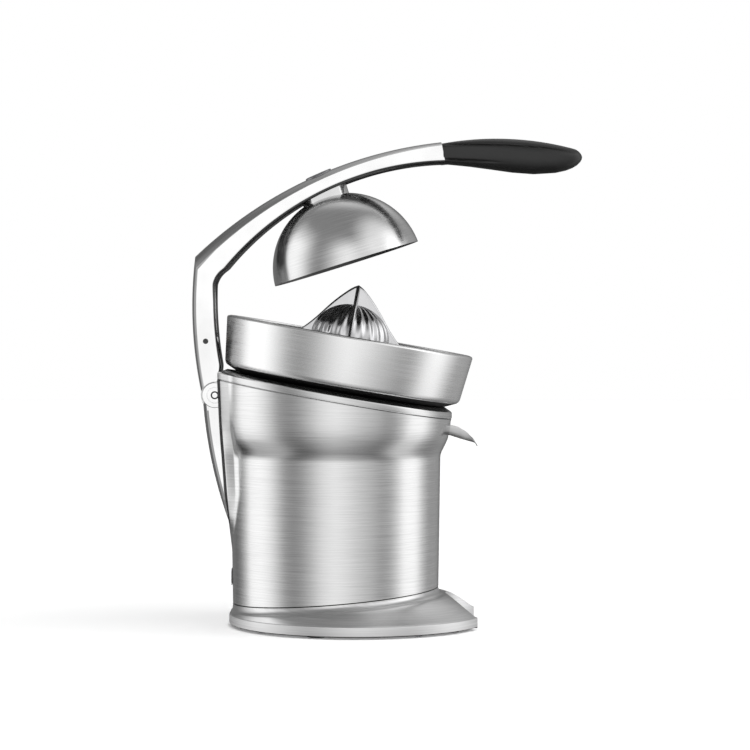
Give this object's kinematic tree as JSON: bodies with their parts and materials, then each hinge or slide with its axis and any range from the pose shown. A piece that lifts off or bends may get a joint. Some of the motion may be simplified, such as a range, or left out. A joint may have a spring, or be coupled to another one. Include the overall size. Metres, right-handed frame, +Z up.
{
  "type": "lever citrus juice press",
  "caption": "Electric citrus press with a lever arm: a dome on a sprung arm presses fruit on a motor-driven cone in a tilted bowl, with a spout and a weighted base.",
  "frame": {"origin": "on the floor plane, below the middle of the press's bounding box", "axes": "+Z up, +X to the front, where the spout and grip point, Y across the press"},
  "size_m": [0.3596, 0.237, 0.4476],
  "materials": {
    "brushed_body": "horizontally brushed stainless sheet",
    "base_metal": "satin cast and polished base",
    "collar_metal": "satin cast ring",
    "arm_metal": "polished casting with a brushed crown",
    "cone_metal": "satin cast juicing cone",
    "grip_black": "soft-touch black",
    "foot_rubber": "matt black rubber",
    "pin_steel": "turned steel",
    "dark_steel": "dark plated steel",
    "gear_steel": "sintered steel gears",
    "gear_plastic": "moulded white plastic",
    "black_plastic": "moulded black plastic",
    "button_red": "moulded red plastic",
    "board_green": "circuit board",
    "brass": "turned brass and bronze",
    "copper_core": "wound stator, laminated",
    "iron_weight": "cast iron weight"
  },
  "bodies": {
    "housing": {"base_casting": "base_metal", "base_plate": "dark_steel", "ballast": "iron_weight", "rubber_feet": "foot_rubber", "base_screws": "dark_steel", "body_shell": "brushed_body", "top_deck": "collar_metal", "juice_chute": "gear_plastic", "spout_pin": "pin_steel", "deck_bush": "brass", "juice_bowl": "brushed_body", "filter_basket": "brushed_body", "return_spring": "pin_steel", "gearbox_cover": "gear_plastic", "gearbox_plate": "dark_steel", "gearbox_screws": "dark_steel", "lay_axle": "pin_steel", "motor_can": "dark_steel", "motor_stator": "copper_core", "motor_bushes": "brass", "micro_switch": "black_plastic", "control_board": "board_green", "board_posts": "brass", "cord_gland": "foot_rubber", "hinge_bracket": "arm_metal", "bracket_screws": "dark_steel", "hinge_pin": "pin_steel", "sector_gear": "gear_steel", "torsion_springs": "pin_steel"},
    "link": {"hinge_links": "dark_steel", "link_bushes": "brass", "idler_axle": "pin_steel"},
    "idler": {"idler_gear": "gear_steel"},
    "arm": {"arm_shell": "arm_metal", "arm_pin": "pin_steel", "arm_gear": "gear_steel", "arm_liner": "black_plastic", "arm_cap": "arm_metal", "saddle_screw": "dark_steel", "dome_saddle": "dark_steel", "dome": "brushed_body", "dome_screw": "dark_steel", "grip_core": "dark_steel", "core_screws": "dark_steel", "grip": "grip_black"},
    "output": {"output_gear": "gear_plastic"},
    "cone": {"drive_shaft": "pin_steel", "juicing_cone": "cone_metal"},
    "layshaft": {"lay_gear": "gear_plastic"},
    "rotor": {"motor_rotor": "pin_steel"},
    "button": {"switch_button": "button_red"},
    "spout_lip": {"spout": "brushed_body"}
  },
  "joints": [
    {"name": "arm_press", "type": "hinge", "parent": "link", "child": "arm", "pos_m": [-0.16617, 0, 0.26227], "axis": [0, 1, 0], "range_deg": [0, 46.8], "stiffness_Nm_per_rad": 0.5, "springref_deg": -148.97},
    {"name": "link_swing", "type": "hinge", "parent": "housing", "child": "link", "pos_m": [-0.15765, 0, 0.213], "axis": [0, 1, 0], "range_deg": [-19.5, 0]},
    {"name": "idler_turn", "type": "hinge", "parent": "link", "child": "idler", "pos_m": [-0.1631, 0, 0.24453], "axis": [0, 1, 0], "range_deg": [-58.5, 0]},
    {"name": "cone_spin", "type": "hinge", "parent": "housing", "child": "output", "pos_m": [-0.04797, 0, 0.18657], "axis": [0.1702, 0, 0.9854], "continuous": true},
    {"name": "cone_plunge", "type": "slide", "parent": "output", "child": "cone", "axis": [-0.1702, 0, -0.9854], "range_m": [0, 0.002], "stiffness_N_per_m": 3000, "springref_m": -0.002, "deforming": ["return_spring"]},
    {"name": "lay_spin", "type": "hinge", "parent": "housing", "child": "layshaft", "pos_m": [-0.04967, 0.036, 0.17671], "axis": [0.1702, 0, 0.9854], "continuous": true},
    {"name": "rotor_spin", "type": "hinge", "parent": "housing", "child": "rotor", "pos_m": [-0.05818, 0, 0.12744], "axis": [0.1702, 0, 0.9854], "continuous": true},
    {"name": "switch_press", "type": "slide", "parent": "housing", "child": "button", "axis": [-0.1702, 0, -0.9854], "range_m": [0, 0.002]},
    {"name": "spout_tilt", "type": "hinge", "parent": "housing", "child": "spout_lip", "pos_m": [0.05185, 0, 0.18], "axis": [0, -1, 0], "range_deg": [0, 20]}
  ],
  "couplings": [
    {"joint": "link_swing", "follows": "arm_press", "ratio": -0.41667},
    {"joint": "idler_turn", "follows": "arm_press", "ratio": -1.25},
    {"joint": "lay_spin", "follows": "cone_spin", "ratio": -4.1429},
    {"joint": "rotor_spin", "follows": "cone_spin", "ratio": 20.714},
    {"joint": "switch_press", "follows": "cone_plunge", "ratio": 1}
  ]
}
